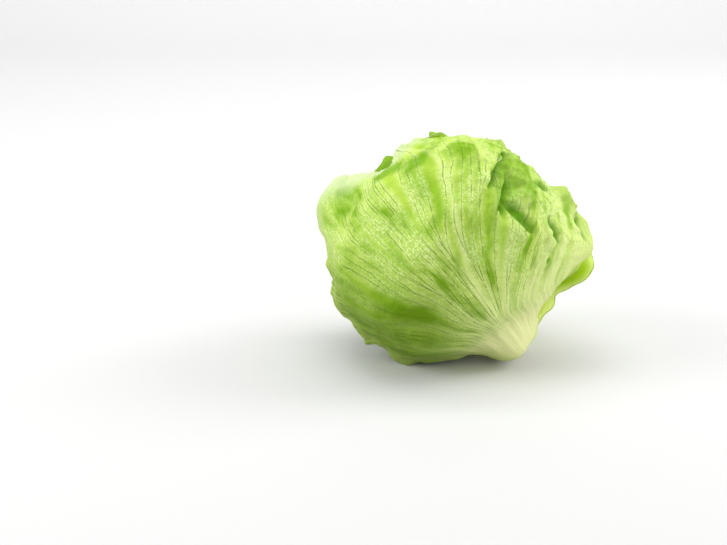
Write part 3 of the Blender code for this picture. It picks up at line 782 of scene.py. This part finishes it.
# The stump: a turned cone with a slightly sunken, uneven cut face.
def stumpMesh():
    n = stump["around"]
    rings = stump["rings"] + [(s, stumpRadius(s)) for s in np.arange(9.0, 21.0, 1.5)]
    rings = rings + [(21.4, 4.4), (21.5, 0.6)]
    a = np.arange(n) * 2 * math.pi / n
    radial = np.cos(a)[:, None] * frontLook + np.sin(a)[:, None] * sideLook
    rows = []
    for s, r in rings:
        ring = -buttAxis * (s - axisMiddle) + radial * r
        sunken = cloudSum(ring, stump["uneven"], 40) * (r < 10.5) * (s < 7)
        rows.append(ring - buttAxis * sunken[:, None])
    verts = np.vstack(rows)
    index = np.arange(len(rings) * n).reshape(len(rings), n)
    after = np.roll(index, -1, axis=1)
    quads = np.stack([index[:-1], after[:-1], after[1:], index[1:]], -1).reshape(-1, 4)
    standing = verts.copy()
    standing[:, 2] = np.maximum(standing[:, 2], -floorDrop + 0.2)
    mesh = meshFrom("stump_core", standing, quads.tolist() + [index[0][::-1].tolist(), index[-1].tolist()])
    s = axisMiddle - verts @ buttAxis
    out = np.linalg.norm(verts + buttAxis * (s - axisMiddle)[:, None], axis=1)
    addFact(mesh, "out", out / stump["radius"])
    addFact(mesh, "face", 1.0 - smooth((s - 6.2) / 1.5))
    return mesh


def stumpMaterial():
    # moist cut stem: cream pith, a ring of vessel dots and a browned edge. It looks damp and a little uneven.
    material, tree = newMaterial("cutStemCream")
    add = partial(addNode, tree)
    place = add("TexCoord", {}, "Object")
    out, face = [add("Attribute", {}, "Fac", attribute_type="GEOMETRY", attribute_name=key)
                 for key in ("out", "face")]
    cloudy = add("TexNoise", {"Vector": place, "Scale": scaleFor(stump["pithCell"]), "Detail": 4.0})
    dots = add("TexVoronoi", {"Vector": place, "Scale": scaleFor(stump["dotGap"])})
    dotShare = weigh(tree, add("MapRange", [dots, 0.4, 0.15]), [
        (add("MapRange", [out, 0.45, 0.62]), 1.0, 0.0), (add("MapRange", [out, 0.95, 0.8]), 0.55, 0.0)])
    brown = weigh(tree, add("MapRange", [out, 0.72, 1.0]), [(face, 0.5, 0.0)])
    colour = coatOver(tree, linear("#e6e0b4"), [
        (cloudy, "#d8d69a"), (dotShare, "#b59a5a"), (brown, "#b98d52")])
    relief = add("Bump", {"Strength": 0.6, "Distance": 0.0005, "Height": cloudy})
    rough = add("Math", [cloudy, 0.25, 0.35], operation="MULTIPLY_ADD")
    add("OutputMaterial", [add("BsdfPrincipled", {
        "Base Color": colour, "Roughness": rough, "Normal": relief, "Subsurface Weight": 0.2,
        "Subsurface Radius": (1.0, 0.8, 0.4), "Subsurface Scale": 0.003})])
    return material


stumpCore = addPiece("stump_core", stumpMesh(), stumpMaterial())
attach(stumpCore, "root")
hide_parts("stump")
print("stump done, faces", len(stumpCore.data.polygons))


# Studio: a pale paper sweep that curves up behind the table, and broad soft lights. Metres.
sweep = dict(near=-6.0, bend=1.3, radius=0.6, high=3.0, side=6.0, colour="#cacaca")
headMiddle = (0, 0, 0.07)
lights = [  # name, place, target, size, watts, colour
    ("softboxTop", (-0.15, 0.0, 1.35), headMiddle, (1.0, 0.8), 5.2, (1.0, 0.99, 0.97)),
    ("fillRight", (1.15, 0.3, 0.8), headMiddle, (0.8, 0.9), 12.5, (1.0, 1.0, 1.0)),
    ("fillLeft", (-1.2, -0.3, 0.7), headMiddle, (0.8, 0.9), 12.0, (1.0, 1.0, 1.0)),
    ("fillFront", (0.8, -1.2, 0.6), headMiddle, (0.9, 0.9), 4.0, (1.0, 1.0, 1.0)),
    ("backdropWash", (0.0, 0.7, 1.9), (0, 1.9, 0.9), (2.4, 0.8), 31.0, (1.0, 1.0, 1.0)),
]
airGlow = 0.64


def addSweep():
    # matt paper: even and without a highlight
    bend, radius = sweep["bend"], sweep["radius"]
    steps = [(sweep["near"], 0.0), (bend, 0.0)]
    steps += [(bend + radius * math.sin(t), radius - radius * math.cos(t))
              for t in np.linspace(0.1, math.pi / 2, 14)]
    steps += [(bend + radius, sweep["high"])]
    verts = [(x, y, z) for y, z in steps for x in (-sweep["side"], sweep["side"])]
    faces = [(2 * i, 2 * i + 1, 2 * i + 3, 2 * i + 2) for i in range(len(steps) - 1)]
    mesh = bpy.data.meshes.new("studioSweep")
    mesh.from_pydata(verts, [], faces)
    mesh.shade_smooth()
    material, tree = newMaterial("paperSweepWhite")
    paper = addNode(tree, "BsdfPrincipled", {"Base Color": linear(sweep["colour"]), "Roughness": 0.75})
    addNode(tree, "OutputMaterial", [paper])
    addPiece("studioSweep", mesh, material)


def addLight(name, place, target, size, watts, colour):
    light = bpy.data.lights.new(name, "AREA")
    light.shape = "RECTANGLE"
    light.size, light.size_y = size
    light.energy = watts
    light.color = colour
    obj = bpy.data.objects.new(name, light)
    bpy.context.scene.collection.objects.link(obj)
    obj.location = place
    obj.rotation_euler = (Vector(target) - Vector(place)).to_track_quat("-Z", "Y").to_euler()


addSweep()
for light in lights:
    addLight(*light)
world = bpy.data.worlds.new("studioAir")
world.use_nodes = True
world.node_tree.nodes["Background"].inputs["Color"].default_value = (1.0, 1.0, 1.0, 1.0)
world.node_tree.nodes["Background"].inputs["Strength"].default_value = airGlow
bpy.context.scene.world = world
bpy.context.scene.view_settings.view_transform = "Standard"
print("sweep and lights done")

# Camera at the photograph's angle: 16 degrees above the table, 1.1 m away, 85 mm lens. middlePx is where
# the head's middle falls in the 727 x 545 picture.
view = dict(tilt=math.radians(16.0), away=1.10, lens=85.0, sensor=36.0, middlePx=(450, 248), frame=(727, 545))
ahead = np.array((0.0, math.cos(view["tilt"]), -math.sin(view["tilt"])))
upward = np.array((0.0, math.sin(view["tilt"]), math.cos(view["tilt"])))
perPx = view["away"] / (view["lens"] / view["sensor"] * view["frame"][0])
aside, above = [(view["middlePx"][k] - view["frame"][k] / 2) * perPx for k in (0, 1)]
cameraData = bpy.data.cameras.new("productCamera")
cameraData.lens = view["lens"]
cameraData.sensor_width = view["sensor"]
camera = bpy.data.objects.new("productCamera", cameraData)
camera.location = headCentre * mm - ahead * view["away"] - np.array((aside, 0, 0)) + upward * above
camera.rotation_euler = (math.pi / 2 - view["tilt"], 0.0, 0.0)
bpy.context.scene.collection.objects.link(camera)
bpy.context.scene.camera = camera
print("camera done")
